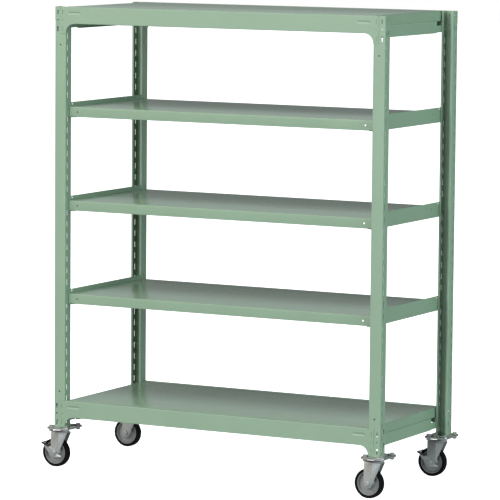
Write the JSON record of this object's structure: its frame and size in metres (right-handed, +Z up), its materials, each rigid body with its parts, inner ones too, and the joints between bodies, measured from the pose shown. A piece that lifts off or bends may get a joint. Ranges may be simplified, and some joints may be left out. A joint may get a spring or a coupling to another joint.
{
  "type": "mobile shelving",
  "caption": "Tall slotted-post steel shelving unit with folded steel boards, on swivel castors, some of them with foot brakes.",
  "frame": {"origin": "on the floor, under the middle of the whole outline at rest, with the castors trailing to -X", "axes": "+X along the shelves to the right seen from the front, +Y to the rear, +Z up"},
  "size_m": [1.658, 0.746, 1.9801],
  "materials": {
    "sage_paint": "semi-gloss powder coat, pale grey-green",
    "shelf_paint": "glossy powder coat, pale grey-green",
    "zinc": "zinc plate, slightly dull",
    "dark_steel": "dark grey coated steel",
    "rubber": "matt black solid rubber"
  },
  "bodies": {
    "frame": {"post_front_left": "sage_paint", "post_front_right": "sage_paint", "post_rear_left": "sage_paint", "post_rear_right": "sage_paint", "beam_top_front": "sage_paint", "beam_top_rear": "sage_paint", "side_beam_top_left": "sage_paint", "side_beam_top_right": "sage_paint", "beam_bottom_front": "sage_paint", "beam_bottom_rear": "sage_paint", "side_beam_bottom_left": "sage_paint", "side_beam_bottom_right": "sage_paint", "bracket_upper_left": "sage_paint", "bracket_upper_right": "sage_paint", "bracket_middle_left": "sage_paint", "bracket_middle_right": "sage_paint", "bracket_lower_left": "sage_paint", "bracket_lower_right": "sage_paint", "board_top": "shelf_paint", "board_upper": "shelf_paint", "board_middle": "shelf_paint", "board_lower": "shelf_paint", "board_bottom": "shelf_paint", "adapter_front_left": "dark_steel", "castor_plate_front_left": "zinc", "kingpin_front_left": "zinc", "adapter_front_right": "dark_steel", "castor_plate_front_right": "zinc", "kingpin_front_right": "zinc", "adapter_rear_left": "dark_steel", "castor_plate_rear_left": "zinc", "kingpin_rear_left": "zinc", "adapter_rear_right": "dark_steel", "castor_plate_rear_right": "zinc", "kingpin_rear_right": "zinc"},
    "swivel_front_left": {"fork_front_left": "zinc", "axle_front_left": "zinc"},
    "wheel_front_left": {"rim_front_left": "zinc", "tyre_front_left": "rubber"},
    "brake_front_left": {"brake_lever_front_left": "dark_steel"},
    "swivel_front_right": {"fork_front_right": "zinc", "axle_front_right": "zinc"},
    "wheel_front_right": {"rim_front_right": "zinc", "tyre_front_right": "rubber"},
    "swivel_rear_left": {"fork_rear_left": "zinc", "axle_rear_left": "zinc"},
    "wheel_rear_left": {"rim_rear_left": "zinc", "tyre_rear_left": "rubber"},
    "swivel_rear_right": {"fork_rear_right": "zinc", "axle_rear_right": "zinc"},
    "wheel_rear_right": {"rim_rear_right": "zinc", "tyre_rear_right": "rubber"},
    "brake_rear_right": {"brake_lever_rear_right": "dark_steel"}
  },
  "joints": [
    {"name": "swivel_turn_front_left", "type": "hinge", "parent": "frame", "child": "swivel_front_left", "pos_m": [-0.72196, -0.307, 0.165], "axis": [0, 0, 1], "continuous": true},
    {"name": "wheel_roll_front_left", "type": "hinge", "parent": "swivel_front_left", "child": "wheel_front_left", "pos_m": [-0.76196, -0.307, 0.0625], "axis": [0, 1, 0], "continuous": true},
    {"name": "brake_press_front_left", "type": "hinge", "parent": "swivel_front_left", "child": "brake_front_left", "pos_m": [-0.76196, -0.307, 0.0625], "axis": [0, 1, 0], "range_deg": [-18, 0]},
    {"name": "swivel_turn_front_right", "type": "hinge", "parent": "frame", "child": "swivel_front_right", "pos_m": [0.77704, -0.307, 0.165], "axis": [0, 0, 1], "continuous": true},
    {"name": "wheel_roll_front_right", "type": "hinge", "parent": "swivel_front_right", "child": "wheel_front_right", "pos_m": [0.73704, -0.307, 0.0625], "axis": [0, 1, 0], "continuous": true},
    {"name": "swivel_turn_rear_left", "type": "hinge", "parent": "frame", "child": "swivel_rear_left", "pos_m": [-0.72196, 0.307, 0.165], "axis": [0, 0, 1], "continuous": true},
    {"name": "wheel_roll_rear_left", "type": "hinge", "parent": "swivel_rear_left", "child": "wheel_rear_left", "pos_m": [-0.76196, 0.307, 0.0625], "axis": [0, 1, 0], "continuous": true},
    {"name": "swivel_turn_rear_right", "type": "hinge", "parent": "frame", "child": "swivel_rear_right", "pos_m": [0.77704, 0.307, 0.165], "axis": [0, 0, 1], "continuous": true},
    {"name": "wheel_roll_rear_right", "type": "hinge", "parent": "swivel_rear_right", "child": "wheel_rear_right", "pos_m": [0.73704, 0.307, 0.0625], "axis": [0, 1, 0], "continuous": true},
    {"name": "brake_press_rear_right", "type": "hinge", "parent": "swivel_rear_right", "child": "brake_rear_right", "pos_m": [0.73704, 0.307, 0.0625], "axis": [0, 1, 0], "range_deg": [-18, 0]}
  ]
}
